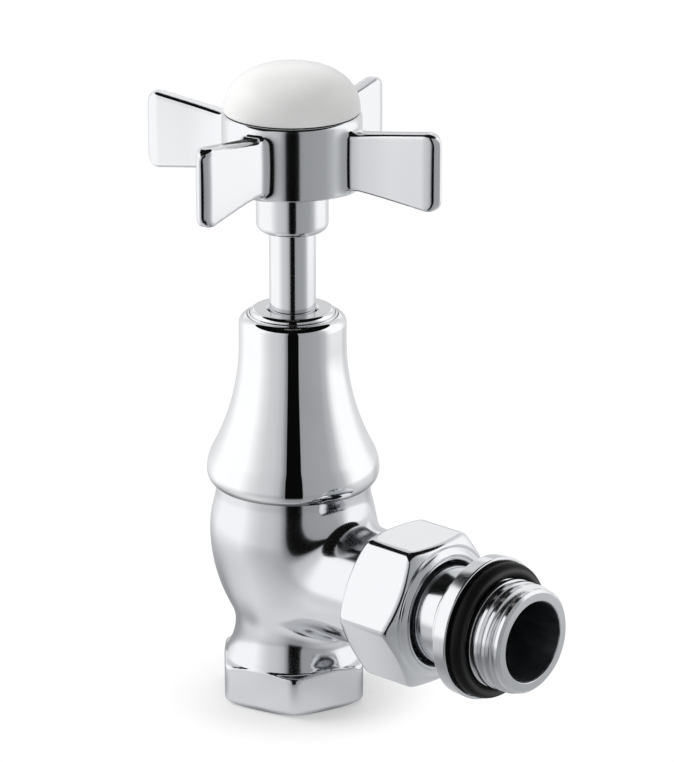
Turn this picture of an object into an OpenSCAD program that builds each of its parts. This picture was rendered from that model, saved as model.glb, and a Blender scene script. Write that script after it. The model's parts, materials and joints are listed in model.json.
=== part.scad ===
// Angle valve with a cross handle, a bell cover and a swivel union outlet.
// The origin is the centre of the foot's underside. +Z runs up the spindle and the outlet points along +X.

/* [Foot and inlet] */
// Width across the flats of the inlet hexagon
foot_af = 27; // [26.6:0.2:27.6]
// Height of the inlet hexagon at its flats
foot_h = 10.2; // [9.8:0.1:10.6]
// Turn of the hexagon about the spindle axis, from the outlet to a corner
foot_turn = 13.1; // [0:0.1:60]
// Core radius of the internal inlet thread
inlet_r = 9.3; // [9.2:0.05:9.4]
// Depth of the internal inlet thread
inlet_depth = 11; // [10:0.5:12]

/* [Body casting] */
// Largest radius of the bulb
bulb_r = 16.2; // [16:0.1:16.4]
// Height of the bulb's largest radius
bulb_z = 34.3; // [34:0.1:34.8]
// Smallest radius of the waist between the hexagon and the bulb
waist_r = 11.35; // [11.2:0.05:11.5]
// Radius of the collar that stands inside the bell cover
shoulder_r = 15; // [14.9:0.05:15.1]
// Height of the body's top face
body_top = 46.4; // [46.2:0.1:46.6]
// Radius of the seat's waterway
seat_bore = 6; // [5.5:0.1:6.2]
// Height of the valve seat
seat_z = 22; // [21.8:0.1:22.2]

/* [Outlet branch and union] */
// Height of the outlet axis
outlet_z = 26.7; // [26.5:0.1:26.9]
// Radius of the branch behind the union nut
branch_r = 11.6; // [11.2:0.1:12]
// Radius of the branch's external union thread
union_r = 12; // [11.9:0.05:12.05]
// Width across the flats of the union nut
nut_af = 27.4; // [27:0.1:28]
// Distance from the spindle axis to the back of the union nut
nut_x = 24.9; // [24.7:0.1:25.1]
// Length of the union nut
nut_len = 14; // [13.8:0.1:14.2]
// Turn of the union nut about the outlet axis at rest
nut_turn = 30.5; // [0:0.5:60]

/* [Tailpiece] */
// Distance from the spindle axis to the end of the tailpiece
tail_end = 60.9; // [60.5:0.1:61.5]
// Outside radius of the tailpiece thread
tail_r = 10.48; // [10.4:0.02:10.5]
// Radius of the tailpiece waterway
tail_bore = 7.65; // [7.4:0.05:7.8]
// Radius of the tailpiece neck
tail_neck = 9.6; // [9.4:0.1:9.7]
// Radius of the tailpiece flange
flange_r = 13.8; // [13.6:0.1:14]
// Distance from the spindle axis to the flange's front face
flange_x = 51; // [50.8:0.1:51.2]

/* [Bell cover] */
// Height of the bell cover's lower rim
bell_z = 44; // [43.9:0.1:44.3]
// Height of the bell cover's top face
bell_top = 77.2; // [77:0.1:77.6]
// Radius of the bell's straight barrel
bell_r = 10.35; // [10.3:0.05:10.45]
// Largest radius at the bell's rim
rim_r = 16.7; // [16.6:0.1:16.8]
// Wall thickness of the bell
bell_wall = 1.2; // [1.1:0.05:1.3]

/* [Spindle and handle] */
// Radius of the spindle's stem
stem_r = 4.45; // [4.4:0.01:4.46]
// Radius of the handle's hub
hub_r = 13.3; // [13.2:0.1:13.5]
// Height of the hub's underside
hub_z = 103.4; // [103:0.1:103.8]
// Height of the hub's top edge
hub_top = 118; // [117.6:0.1:118.4]
// Radius of the collar under the hub
collar_r = 6.9; // [6.7:0.1:7.1]
// Height of the collar's lower end
collar_z = 94.3; // [94:0.1:95]
// Radius of the circle that the arm tips touch
arm_r = 32.4; // [31:0.1:33]
// Height of an arm at its tip
arm_tip_h = 15; // [14:0.1:16]
// Thickness of an arm's blade
arm_thick = 2.8; // [2.4:0.1:3.2]
// Turn of the handle about the spindle at rest
handle_turn = 11.5; // [0:0.5:90]
// Height of the ceramic dome above the hub
dome_h = 9; // [8:0.1:10]

/* [Hidden] */
$fn = 48;
fit_gap = 0.05;
// Foot: the hexagon's corner radius, its bottom chamfer and the inlet's countersink
foot_corner = foot_af / 2 / cos(30);
foot_edge = 13.8;
sink_r = 1.2;
sink_depth = 0.7;
// Profile radii of the body: waist fillet, lower and upper sweep of the bulb
waist_sweep = 7;
lower_sweep = 33;
upper_sweep = 20;
shoulder_z = 40.2;
waist_z = bulb_z - sqrt(pow(waist_sweep + lower_sweep, 2)
    - pow(waist_r + waist_sweep - bulb_r + lower_sweep, 2));
// Inside of the body
chamber_r = 12.4;
chamber_z = seat_z - 1.4;
seat_rim = 7.9;
bonnet_r = 12.6;
bonnet_depth = 9.4;
outlet_bore = 7;
// Union: thread length on the branch, the collar and the seal that the nut clamps
branch_end = nut_x + 5.2;
seal_thick = 1.8;
tail_collar = 11.1;
collar_x = branch_end + seal_thick;
nut_shoulder = nut_x + 10;
nut_hole = 9.95;
// Bell: radii of its flared skirt and of the roll at its rim
skirt_z = bell_top - 5.2;
skirt_sweep = 45.7;
rim_sweep = 9;
rim_roll = 3;
rim_z = skirt_z - sqrt(pow(skirt_sweep + rim_sweep, 2)
    - pow(bell_r + skirt_sweep - rim_r + rim_sweep, 2));
lip_z = bell_top - 1.7;
lip_r = 7.9;
// Headwork inside the bell
flange_z = body_top + 1;
bonnet_hex_af = 22;
bonnet_hex_z = flange_z + 1.4;
bonnet_barrel_z = bonnet_hex_z + 4;
bonnet_barrel_r = 8.3;
bonnet_neck_r = 7.2;
neck_top = bell_top - 0.5;
spindle_thread_r = 6;
web_z = 62;
web_thick = 2;
box_r = 6.2;
packing_h = 4;
gland_shank_z = web_z + web_thick + 1 + packing_h;
gland_head_r = 7.1;
gland_top = neck_top + 1.1;
// Valve disc and its screw
washer_h = 3;
washer_r = 8.1;
disc_z = seat_z + washer_h;
disc_h = 2.5;
jumper_r = 2.4;
spindle_z = disc_z + disc_h;
// Handle: splined top of the spindle, screw recess and dome seat
spline_r = 4;
spline_z = collar_z + 1.2;
spline_top = hub_top - 8;
cup_r = 6;
seat_depth = 1.8;
dome_seat_r = 12.7;
dome_r = 12.95;
dome_base_r = 12.6;
arm_z = (hub_z + hub_top) / 2 - 0.8;
arm_root_h = 10.6;
arm_root_w = 6.6;
arm_root_x = hub_r - 1.2;
boss_end = hub_r + 2.4;
arm_fillet = 5;

// Points of an arc, from angle a0 to angle a1 about a centre
function arc(centre, r, a0, a1, n = 8) =
    [for (i = [0:n]) centre + r * [cos(a0 + (a1 - a0) * i / n), sin(a0 + (a1 - a0) * i / n)]];

// Lays a shape that is drawn along +Z on the outlet axis, along +X
module on_outlet() {
    translate([0, 0, outlet_z]) rotate([0, 90, 0]) children();
}

module turned(profile) {
    rotate_extrude() polygon(profile);
}

module ring(inner, outer, low, high) {
    turned([[inner, low], [outer, low], [outer, high], [inner, high]]);
}

module hexagon(af, low, high) {
    translate([0, 0, low]) cylinder(r = af / 2 / cos(30), h = high - low, $fn = 6);
}

// Outside of the hexagon's blank: a small lower chamfer and a steeper upper one
module foot_blank() {
    corner = foot_corner + 0.02;
    top = foot_h - (corner - foot_af / 2) * tan(30);
    turned([[0, 0], [foot_edge, 0], [corner, (corner - foot_edge) * tan(30)], [corner, top],
        [foot_af / 2 - 0.1, foot_h], [0, foot_h]]);
}

function waist_centre() = [waist_r + waist_sweep, waist_z];
function lower_centre() = [bulb_r - lower_sweep, bulb_z];

// Outside of the casting above the hexagon: waist, bulb and the collar inside the bell
module bulb() {
    join = acos((waist_r + waist_sweep - bulb_r + lower_sweep) / (waist_sweep + lower_sweep));
    start = asin((waist_z - foot_h) / waist_sweep);
    upper = asin((shoulder_z - bulb_z) / upper_sweep);
    turned(concat([[0, foot_h - 2], [waist_centre()[0] - waist_sweep * cos(start), foot_h - 2]],
        arc(waist_centre(), waist_sweep, 180 + start, 180 - join, 10),
        arc(lower_centre(), lower_sweep, -join + 1, 0, 10),
        arc([bulb_r - upper_sweep, bulb_z], upper_sweep, 2, upper, 5),
        [[shoulder_r, shoulder_z + 1.4], [shoulder_r, body_top - 0.4], [shoulder_r - 0.4, body_top],
         [0, body_top]]));
}

// Outside of the branch: it flares into the bulb and ends in the union thread
module branch() {
    flare = 5;
    flare_x = 16.5;
    swing = 37;
    on_outlet() turned(concat([[0, 2], [branch_r + flare * (1 - cos(swing)), 2]],
        arc([branch_r + flare, flare_x], flare, 180 + swing, 180, 6),
        [[branch_r, nut_x - 1.6], [branch_r - 0.6, nut_x - 1.2], [branch_r - 0.6, nut_x + 0.2],
         [union_r, nut_x + 0.9], [union_r, branch_end - 0.6], [union_r - 0.7, branch_end],
         [0, branch_end]]));
}

// Waterway from the foot to the top: inlet thread, seat, chamber and bonnet thread
module body_waterway() {
    turned([[0, -sink_depth], [inlet_r + 2 * sink_r, -sink_depth], [inlet_r, sink_depth],
        [inlet_r, inlet_depth], [seat_bore, inlet_depth + 2.4],
        [seat_bore, seat_z + 1], [0, seat_z + 1]]);
    turned([[0, seat_z], [seat_rim, seat_z], [seat_rim + 0.6, chamber_z], [chamber_r - 2.4, chamber_z],
        [chamber_r, chamber_z + 3], [chamber_r + 0.9, bulb_z - 3], [chamber_r + 0.9, bulb_z + 1],
        [bonnet_r, bulb_z + 1.8], [bonnet_r, body_top - 0.6], [bonnet_r + 0.7, body_top + 0.1],
        [0, body_top + 0.1]]);
}

module valve_body() {
    color("gainsboro") difference() {
        union() {
            intersection() {
                rotate(foot_turn) hexagon(foot_af, 0, foot_h);
                foot_blank();
            }
            bulb();
            branch();
        }
        body_waterway();
        on_outlet() translate([0, 0, chamber_r - 4]) cylinder(r = outlet_bore, h = branch_end);
    }
}

module bonnet_seal() {
    color("saddlebrown") ring(bonnet_r + 0.75, shoulder_r - 0.5, body_top, flange_z);
}

// Headwork: screwed into the body, it guides the spindle and holds the packing
module bonnet() {
    thread_low = body_top - bonnet_depth;
    color("goldenrod") difference() {
        union() {
            turned([[0, thread_low], [bonnet_r - 1, thread_low], [bonnet_r - fit_gap, thread_low + 1],
                [bonnet_r - fit_gap, flange_z - 0.4], [bonnet_r - 0.4, flange_z],
                [shoulder_r - 0.5, flange_z], [shoulder_r - 0.5, bonnet_hex_z], [0, bonnet_hex_z]]);
            hexagon(bonnet_hex_af, bonnet_hex_z, bonnet_barrel_z);
            turned([[0, bonnet_barrel_z], [bonnet_barrel_r, bonnet_barrel_z],
                [bonnet_barrel_r, lip_z - 3.2], [bonnet_neck_r, lip_z - 2.2],
                [bonnet_neck_r, neck_top - 0.4], [bonnet_neck_r - 0.4, neck_top], [0, neck_top]]);
        }
        turned([[0, thread_low - 1], [9.4, thread_low - 1], [9.4, thread_low + 5],
            [spindle_thread_r, thread_low + 7], [spindle_thread_r, web_z], [0, web_z]]);
        cylinder(r = stem_r + fit_gap, h = web_z + web_thick + 1);
        ring(0, box_r, web_z + web_thick, neck_top + 1);
    }
}

// Profile of the bell at depth t under its outer face, from angle start on the roll up to the barrel
function bell_profile(t, start) = concat(
    arc([rim_r - rim_roll, rim_z], rim_roll - t, -start, 0, 4),
    arc([rim_r - rim_sweep, rim_z], rim_sweep - t,
        6, asin((skirt_z - rim_z) / (skirt_sweep + rim_sweep)), 5),
    arc([bell_r + skirt_sweep, skirt_z], skirt_sweep + t,
        180 + asin((skirt_z - rim_z) / (skirt_sweep + rim_sweep)) - 3, 180, 12));

function reversed(list) = [for (i = [len(list) - 1:-1:0]) list[i]];

// Bell cover: a turned shell with a rolled rim and an inner lip that the ring nut holds down
module bell_cover() {
    edge = 1.1;
    mouth = shoulder_r + 0.1;
    inner_start = acos((mouth - rim_r + rim_roll) / (rim_roll - bell_wall));
    color("silver") turned(concat(bell_profile(0, asin((rim_z - bell_z) / rim_roll)),
        arc([bell_r - edge, bell_top - edge], edge, 0, 90, 5),
        [[bell_r - edge - 0.35, bell_top - 0.1], [bell_r - edge - 0.35, lip_z], [lip_r, lip_z],
         [lip_r, lip_z - 1.4], [bell_r - bell_wall, lip_z - 1.4]],
        reversed(bell_profile(bell_wall, inner_start)), [[mouth, bell_z]]));
}

// Ring nut: it clamps the bell's lip on the neck of the headwork
module cover_ring_nut() {
    outer = bell_r - 1.7;
    color("silver") turned([[bonnet_neck_r + fit_gap, lip_z - 1.5], [lip_r - fit_gap, lip_z - 1.5],
        [lip_r - fit_gap, lip_z], [outer, lip_z], [outer, bell_top - 0.2], [outer - 0.25, bell_top + 0.1],
        [outer - 0.6, bell_top + 0.1], [outer - 0.6, bell_top + 0.4], [outer - 0.8, bell_top + 0.6],
        [bonnet_neck_r + fit_gap, bell_top + 0.6]]);
}

module packing_washer() {
    low = web_z + web_thick;
    color("goldenrod") ring(stem_r + 0.1, box_r - fit_gap, low, low + 1);
}

module stem_packing() {
    low = web_z + web_thick + 1;
    color("dimgray") ring(stem_r + 0.02, box_r - fit_gap, low, low + packing_h);
}

// Gland nut: its shank presses the packing and its flat head closes the top of the headwork
module gland_nut() {
    color("silver") turned([[stem_r + fit_gap, gland_shank_z], [box_r - fit_gap, gland_shank_z],
        [box_r - fit_gap, neck_top], [gland_head_r, neck_top], [gland_head_r, gland_top - 0.25],
        [gland_head_r - 0.25, gland_top], [stem_r + 0.5, gland_top], [stem_r + fit_gap, gland_top - 0.5]]);
}

// Spindle: stem, screw thread, socket for the jumper and a squared end for the handle
module spindle() {
    thread_low = 40;
    thread_high = 55;
    stem_top = spline_z;
    color("silver") difference() {
        union() {
            turned([[0, spindle_z], [4.6, spindle_z], [5.2, spindle_z + 0.6], [5.2, thread_low],
                [spindle_thread_r - fit_gap, thread_low + 0.8], [spindle_thread_r - fit_gap, thread_high - 0.8],
                [5, thread_high], [stem_r, thread_high + 1], [stem_r, stem_top], [0, stem_top]]);
            rotate(handle_turn) translate([0, 0, stem_top - 1]) linear_extrude(spline_top - stem_top + 1)
                square(spline_r * sqrt(2), center = true);
        }
        translate([0, 0, spindle_z - 1]) cylinder(r = jumper_r + fit_gap, h = 11);
        translate([0, 0, spline_top - 9]) cylinder(r = 1.65, h = 10);
    }
}

// Valve disc: a skirted plate on a jumper stem
module valve_disc() {
    color("goldenrod") difference() {
        turned([[0, disc_z], [washer_r + 0.1, disc_z], [washer_r + 0.1, disc_z - 1.6],
            [washer_r + 1, disc_z - 1.6], [washer_r + 1, disc_z + disc_h - 0.6],
            [washer_r + 0.4, disc_z + disc_h], [jumper_r, disc_z + disc_h],
            [jumper_r, disc_z + disc_h + 8.4], [jumper_r - 0.6, disc_z + disc_h + 9],
            [0, disc_z + disc_h + 9]]);
        translate([0, 0, disc_z - 1]) cylinder(r = 1.55, h = 7);
    }
}

module disc_seal() {
    color("black") ring(1.7, washer_r, seat_z, disc_z);
}

module disc_screw() {
    color("goldenrod") turned([[0, seat_z - 1.6], [2.6, seat_z - 1.6], [3, seat_z - 1.2], [3, seat_z],
        [1.5, seat_z], [1.5, disc_z + 4.6], [0, disc_z + 5]]);
}

// Half height of an arm: constant in its root boss, then growing towards the tip
function arm_half_h(x) =
    arm_root_h / 2 + (arm_tip_h - arm_root_h) / 2 * max(0, x - boss_end) / (arm_r - boss_end);

// Section of an arm, with rounded corners
function arm_section(x, w, h, corner, n = 4) = [
    for (quadrant = [0:3]) for (i = [0:n])
        let (a = quadrant * 90 + 90 * i / n, sy = quadrant == 0 || quadrant == 3 ? 1 : -1,
             sz = quadrant < 2 ? 1 : -1)
        [x, sy * (w - corner) + corner * cos(a), sz * (h - corner) + corner * sin(a)]
];

// One arm: a boss that swells into the hub, a fillet down to the blade, and a tip with round edges
module arm() {
    tip_corner = 2.3;
    blade = arm_thick / 2;
    root_w = arm_root_w / 2;
    root_h = arm_root_h / 2;
    end_x = arm_r - tip_corner;
    swell = 0.6;
    boss = [for (i = [0:3])
        let (a = 90 * i / 3, grow = swell * (1 - sin(a)), x = hub_r - 0.6 + 2 * swell * (1 - cos(a)))
        arm_section(x, root_w + grow, root_h + grow, 1.9)];
    step = [arm_section(arm_root_x, root_w + swell, root_h + swell, 1.9),
        arm_section(boss_end - 0.25, root_w, root_h, 1.9)];
    shaft = [for (i = [0:6])
        let (a = 15 * i, x = boss_end + arm_fillet * (1 - cos(a)), grow = (1 - sin(a)) * (root_w - blade - 0.2),
             w = blade + grow)
        arm_section(x, w, arm_half_h(x) - 0.1 * cos(a), min(w, 1.9) - 0.02)];
    tip = [for (i = [0:6])
        let (a = 14 * i, x = end_x + tip_corner * sin(a), past = max(0, x - (arm_r - blade)),
             w = sqrt(blade * blade - past * past), h = arm_half_h(end_x) - tip_corner * (1 - cos(a)))
        arm_section(x, w, h, w - 0.02)];
    rings = concat([step[0]], boss, [step[1]], shaft, tip);
    n = len(rings[0]);
    last = (len(rings) - 1) * n;
    polyhedron([for (section = rings) for (p = section) p],
        concat([[for (i = [0:n - 1]) i]],
            [for (k = [0:len(rings) - 2]) for (i = [0:n - 1])
                [k * n + i, (k + 1) * n + i, (k + 1) * n + (i + 1) % n, k * n + (i + 1) % n]],
            [[for (i = [n - 1:-1:0]) last + i]]));
}

// Handle: hub, collar and four arms in one casting, bored for the spindle and the dome
module handle() {
    top_edge = 1.4;
    color("gainsboro") difference() {
        union() {
            turned(concat([[0, collar_z], [collar_r - 1.8, collar_z]],
                arc([collar_r - 1.8, collar_z + 1.8], 1.8, -90, 0, 5),
                [[collar_r, hub_z], [hub_r - 0.5, hub_z], [hub_r, hub_z + 0.5]],
                arc([hub_r - top_edge, hub_top - top_edge], top_edge, 0, 65, 5),
                [[dome_seat_r, hub_top], [0, hub_top]]));
            for (k = [0:3]) rotate(handle_turn + 90 * k) translate([0, 0, arm_z]) arm();
        }
        ring(0, dome_seat_r, hub_top - seat_depth, hub_top + 1);
        ring(0, cup_r, spline_top, hub_top);
        translate([0, 0, collar_z - 1]) cylinder(r = stem_r + fit_gap, h = spline_z - collar_z + 1);
        rotate(handle_turn) translate([0, 0, collar_z]) linear_extrude(hub_top - collar_z)
            square(spline_r * sqrt(2) + 2 * fit_gap, center = true);
    }
}

module handle_screw() {
    low = spline_top + 0.8;
    color("silver") difference() {
        turned([[0, low - 9], [1.2, low - 9], [1.6, low - 8.4], [1.6, low], [3.6, low], [3.6, low + 1.2],
            [2.6, low + 2.2], [0, low + 2.5]]);
        translate([-0.5, -5, low + 1.4]) cube([1, 10, 3]);
    }
}

module screw_washer() {
    color("silver") ring(1.8, cup_r - 0.4, spline_top, spline_top + 0.8);
}

module cap_ring() {
    color("black") ring(cup_r + 1.6, dome_seat_r - 0.4, hub_top - seat_depth, hub_top - seat_depth + 0.8);
}

// Threaded plug that is cemented in the dome and screws into the hub
module cap_insert() {
    color("goldenrod") turned([[0, hub_top - 4.6], [cup_r - 0.9, hub_top - 4.6],
        [cup_r - fit_gap, hub_top - 4], [cup_r - fit_gap, hub_top - seat_depth],
        [cup_r - 1.5, hub_top - 1.2], [cup_r - 1.5, hub_top + 1.6], [0, hub_top + 1.6]]);
}

// Height of the dome's surface at radius r: the top half of a flattened ball with full cheeks
function dome_point(a) = [dome_r * pow(cos(a), 0.9), hub_top + 1.3 + (dome_h - 1.3) * sin(a)];

module ceramic_cap() {
    foot = hub_top - seat_depth + 0.8;
    color("white") difference() {
        turned(concat([[0, foot], [dome_base_r - 0.6, foot], [dome_base_r - 0.15, foot + 0.4],
            [dome_base_r, hub_top], [dome_r - 0.08, hub_top + 0.6]],
            [for (i = [0:15]) dome_point(90 * i / 16)], [[0, hub_top + dome_h]]));
        ring(0, cup_r - 1.5 + fit_gap, foot - 1, hub_top + 1.6);
        ring(0, cup_r + 0.3, foot - 1, hub_top - 1);
    }
}

// Union nut: chamfered hexagon with a thread, a stepped bore and a dished front
module union_nut() {
    corner = nut_af / 2 / cos(30);
    face = nut_af / 2 - 0.35;
    drop = (corner + 0.05 - face) * tan(30);
    end = nut_x + nut_len;
    color("gainsboro") difference() {
        intersection() {
            on_outlet() rotate(nut_turn) hexagon(nut_af, nut_x, end);
            on_outlet() turned([[0, nut_x], [face, nut_x], [corner + 0.05, nut_x + drop],
                [corner + 0.05, end - drop], [face, end], [0, end]]);
        }
        on_outlet() turned([[0, nut_x - 1], [union_r + 1.4, nut_x - 1], [union_r + 0.4, nut_x],
            [union_r + fit_gap, nut_x + 0.4], [union_r + fit_gap, branch_end + 0.8],
            [tail_collar + fit_gap, branch_end + 1.2], [tail_collar + fit_gap, nut_shoulder],
            [nut_hole, nut_shoulder], [nut_hole, end - 0.9], [nut_hole + 0.7, end - 0.4],
            [nut_hole + 1.6, end + 0.1], [0, end + 0.1]]);
    }
}

module union_seal() {
    color("seagreen") on_outlet() ring(tail_bore + 0.4, tail_collar - 0.2, branch_end, collar_x);
}

// Tailpiece: collar, neck that flares to the flange, seal recess and threaded end
module tailpiece() {
    flange_back = flange_x - 3.2;
    thread_end = tail_end - 1.9;
    undercut = tail_r - 0.5;
    color("silver") on_outlet() difference() {
        turned(concat([[0, collar_x], [tail_collar, collar_x], [tail_collar, nut_shoulder],
            [tail_neck, nut_shoulder], [tail_neck, flange_back - 3.4]],
            arc([tail_neck + 3.4, flange_back - 3.4], 3.4, 180, 108, 6),
            [[flange_r - 0.4, flange_back], [flange_r, flange_back + 0.4], [flange_r, flange_x - 0.4],
             [flange_r - 0.3, flange_x], [flange_r - 0.6, flange_x], [flange_r - 0.7, flange_x - 0.2],
             [undercut, flange_x - 0.2], [undercut, flange_x + 2.9], [tail_r, flange_x + 3.4],
             [tail_r, thread_end], [tail_r - 1, thread_end + 0.8], [tail_r - 1, tail_end - 0.5],
             [tail_r - 1.5, tail_end], [0, tail_end]]));
        translate([0, 0, collar_x - 1]) cylinder(r = tail_bore, h = tail_end);
    }
}

module tail_seal() {
    section = 1.55;
    color("black") on_outlet() rotate_extrude()
        translate([tail_r - 0.45 + section, flange_x - 0.2 + section]) circle(r = section);
}

valve_body();
bonnet_seal();
bonnet();
bell_cover();
cover_ring_nut();
packing_washer();
stem_packing();
gland_nut();
spindle();
valve_disc();
disc_seal();
disc_screw();
handle();
handle_screw();
screw_washer();
cap_ring();
cap_insert();
ceramic_cap();
union_nut();
union_seal();
tailpiece();
tail_seal();
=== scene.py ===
"""Looks of the angle valve: fine forms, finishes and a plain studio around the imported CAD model."""

import json
import math

import bpy
import numpy as np
from bpy.props import FloatProperty, FloatVectorProperty, PointerProperty
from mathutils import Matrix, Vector


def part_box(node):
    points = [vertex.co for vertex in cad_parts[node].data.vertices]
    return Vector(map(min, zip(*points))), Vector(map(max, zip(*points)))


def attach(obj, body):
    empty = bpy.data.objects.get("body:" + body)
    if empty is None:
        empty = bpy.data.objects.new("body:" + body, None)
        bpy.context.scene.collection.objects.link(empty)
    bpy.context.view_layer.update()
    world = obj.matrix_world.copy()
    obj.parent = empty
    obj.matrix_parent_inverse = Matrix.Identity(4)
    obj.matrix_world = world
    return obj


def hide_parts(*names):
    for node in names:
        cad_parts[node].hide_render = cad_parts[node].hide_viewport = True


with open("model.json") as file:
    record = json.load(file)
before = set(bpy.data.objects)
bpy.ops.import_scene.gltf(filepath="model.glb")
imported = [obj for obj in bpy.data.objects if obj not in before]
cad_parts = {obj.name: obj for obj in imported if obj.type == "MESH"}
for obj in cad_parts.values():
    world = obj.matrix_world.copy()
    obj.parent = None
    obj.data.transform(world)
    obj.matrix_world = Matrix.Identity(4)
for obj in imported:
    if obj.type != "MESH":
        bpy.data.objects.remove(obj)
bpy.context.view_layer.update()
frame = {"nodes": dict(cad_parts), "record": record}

bl_info = {
    "name": "Angle valve",
    "version": (1, 0, 0),
    "blender": (4, 5, 0),
    "location": "3D View > Sidebar > Angle valve",
    "description": "Dresses the angle valve's CAD model: castings, turned parts, threads, finishes and studio",
    "category": "Add Mesh",
}

MM = 0.001


# ---------------------------------------------------------------- sizes read from the CAD model, in millimetres

def box_mm(node):
    low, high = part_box(node)
    return np.array(low) / MM, np.array(high) / MM


BODY_LOW, BODY_HIGH = box_mm("valve_body")
BELL_LOW, BELL_HIGH = box_mm("bell_cover")
NUT_LOW, NUT_HIGH = box_mm("union_nut")
TAIL_LOW, TAIL_HIGH = box_mm("tailpiece")
HANDLE_LOW, HANDLE_HIGH = box_mm("handle")
DOME_LOW, DOME_HIGH = box_mm("ceramic_cap")


class ValveSizes(bpy.types.PropertyGroup):
    """Sizes of the castings and turned parts that a maker would change."""
    foot_width: FloatProperty(
        name="Foot width", description="Width across the flats of the inlet hexagon",
        default=27 * MM, unit="LENGTH", precision=4)
    foot_height: FloatProperty(
        name="Foot height", description="Height of the inlet hexagon at its flats",
        default=10.2 * MM, unit="LENGTH", precision=4)
    foot_turn: FloatProperty(
        name="Foot turn", description="Turn of the hexagon about the spindle axis",
        default=math.radians(13.1), subtype="ANGLE")
    bulb_radius: FloatProperty(
        name="Bulb radius", description="Largest radius of the body's bulb",
        default=16.2 * MM, unit="LENGTH", precision=4)
    waist_radius: FloatProperty(
        name="Waist radius", description="Smallest radius between the foot and the bulb",
        default=11.35 * MM, unit="LENGTH", precision=4)
    branch_radius: FloatProperty(
        name="Branch radius", description="Radius of the outlet branch behind the union nut",
        default=11.6 * MM, unit="LENGTH", precision=4)
    branch_blend: FloatProperty(
        name="Branch blend", description="How softly the branch flows into the bulb",
        default=5.5 * MM, unit="LENGTH", precision=4)
    outlet_height: FloatProperty(
        name="Outlet height", description="Height of the outlet axis",
        default=26.7 * MM, unit="LENGTH", precision=4)
    nut_width: FloatProperty(
        name="Nut width", description="Width across the flats of the union nut",
        default=27.4 * MM, unit="LENGTH", precision=4)
    nut_turn: FloatProperty(
        name="Nut turn", description="Turn of the union nut about the outlet axis",
        default=math.radians(30.5), subtype="ANGLE")
    pipe_thread_pitch: FloatProperty(
        name="Pipe thread pitch", description="Pitch of the inlet and outlet pipe threads",
        default=1.814 * MM, unit="LENGTH", precision=5)
    pipe_thread_radius: FloatProperty(
        name="Pipe thread radius", description="Radius over the crests of the outlet thread",
        default=10.48 * MM, unit="LENGTH", precision=5)
    arm_thickness: FloatProperty(
        name="Arm thickness", description="Thickness of a handle arm's blade",
        default=3.7 * MM, unit="LENGTH", precision=4)
    arm_turn: FloatProperty(
        name="Arm turn", description="Turn of the handle about the spindle at rest",
        default=math.radians(11.5), subtype="ANGLE")


class ValveFinish(bpy.types.PropertyGroup):
    """Colours and polish of the finishes."""
    chrome: FloatVectorProperty(
        name="Chrome", description="Colour of the chrome plating", subtype="COLOR",
        default=(0.86, 0.87, 0.885), min=0, max=1)
    chrome_roughness: FloatProperty(
        name="Chrome roughness", description="Roughness of clean turned chrome",
        default=0.006, min=0, max=1)
    casting_roughness: FloatProperty(
        name="Casting roughness", description="Roughness of the polished castings under their chrome",
        default=0.012, min=0, max=1)
    ceramic: FloatVectorProperty(
        name="Ceramic", description="Colour of the glazed dome", subtype="COLOR",
        default=(0.795, 0.80, 0.81), min=0, max=1)
    rubber: FloatVectorProperty(
        name="Rubber", description="Colour of the moulded rings", subtype="COLOR",
        default=(0.003, 0.003, 0.0032), min=0, max=1)
    brass: FloatVectorProperty(
        name="Brass", description="Colour of bare turned brass", subtype="COLOR",
        default=(0.78, 0.60, 0.30), min=0, max=1)


class StudioSettings(bpy.types.PropertyGroup):
    """Camera and light of the studio."""
    camera_place: FloatVectorProperty(
        name="Camera place", description="Where the camera stands", subtype="TRANSLATION",
        default=(0.51450, -0.54966, 0.31957))
    camera_line: FloatVectorProperty(
        name="Camera line", description="Direction in which the camera looks", subtype="DIRECTION",
        default=(-0.63927, 0.69856, -0.32150))
    lens: FloatProperty(
        name="Lens", description="Focal length in millimetres on a 36 mm frame", default=195.38, min=10, max=500)
    key_power: FloatProperty(
        name="Key light", description="Power of the large soft light on the left", default=12.0, min=0, unit="POWER")
    fill_power: FloatProperty(
        name="Fill light", description="Power of the soft light on the right", default=4.0, min=0, unit="POWER")
    room_level: FloatProperty(
        name="Room level", description="Even light from all round", default=0.54, min=0, max=2)
    ceiling: FloatProperty(
        name="Ceiling", description="Height, from 0 to 1 at the zenith, above which polished metal sees a dark ceiling",
        default=0.7, min=0, max=1)
    gap_left: FloatProperty(
        name="Gap left", description="Left edge of the dark gap behind the camera, in degrees", default=-10.5)
    gap_right: FloatProperty(
        name="Gap right", description="Right edge of the dark gap behind the camera, in degrees", default=12.0)


# Levels of the studio that polished metal sees, by azimuth in degrees from the camera's side of the valve:
# a white panel on the left that fades towards the gap, a dim wall on the right, and a white panel beyond it.
WALL_TONES = [(-180, 0.66), (-150, 0.84), (-137, 0.95), (-122, 1.15), (-74, 1.15), (-58, 0.87), (-45, 0.72), (-30, 0.66),
              (-19, 0.55), (-12, 0.26), (10, 0.26), (14, 0.37), (55, 0.42), (69, 0.56), (83, 1.05), (92, 1.15),
              (122, 1.13), (138, 0.84), (180, 0.66)]
# The same for the floor close to the valve: painted light and shade that the floor glows with for polished metal.
FLOOR_TONES = [(-180, 0.4), (-125, 0.36), (-95, 0.76), (-60, 0.86), (-30, 0.66), (-8, 0.36), (8, 0.34), (30, 0.5),
               (60, 0.66), (90, 0.7), (125, 0.4), (180, 0.4)]

# The same for the floor around the foot, also painted light and shade.
FOOT_TONES = [(-180, 0.4), (-120, 0.4), (-82, 0.5), (-64, 0.78), (-30, 0.8), (0, 0.74), (30, 0.7), (60, 0.56),
              (82, 0.36), (120, 0.3), (180, 0.3)]


# ---------------------------------------------------------------- profiles and meshes

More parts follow.
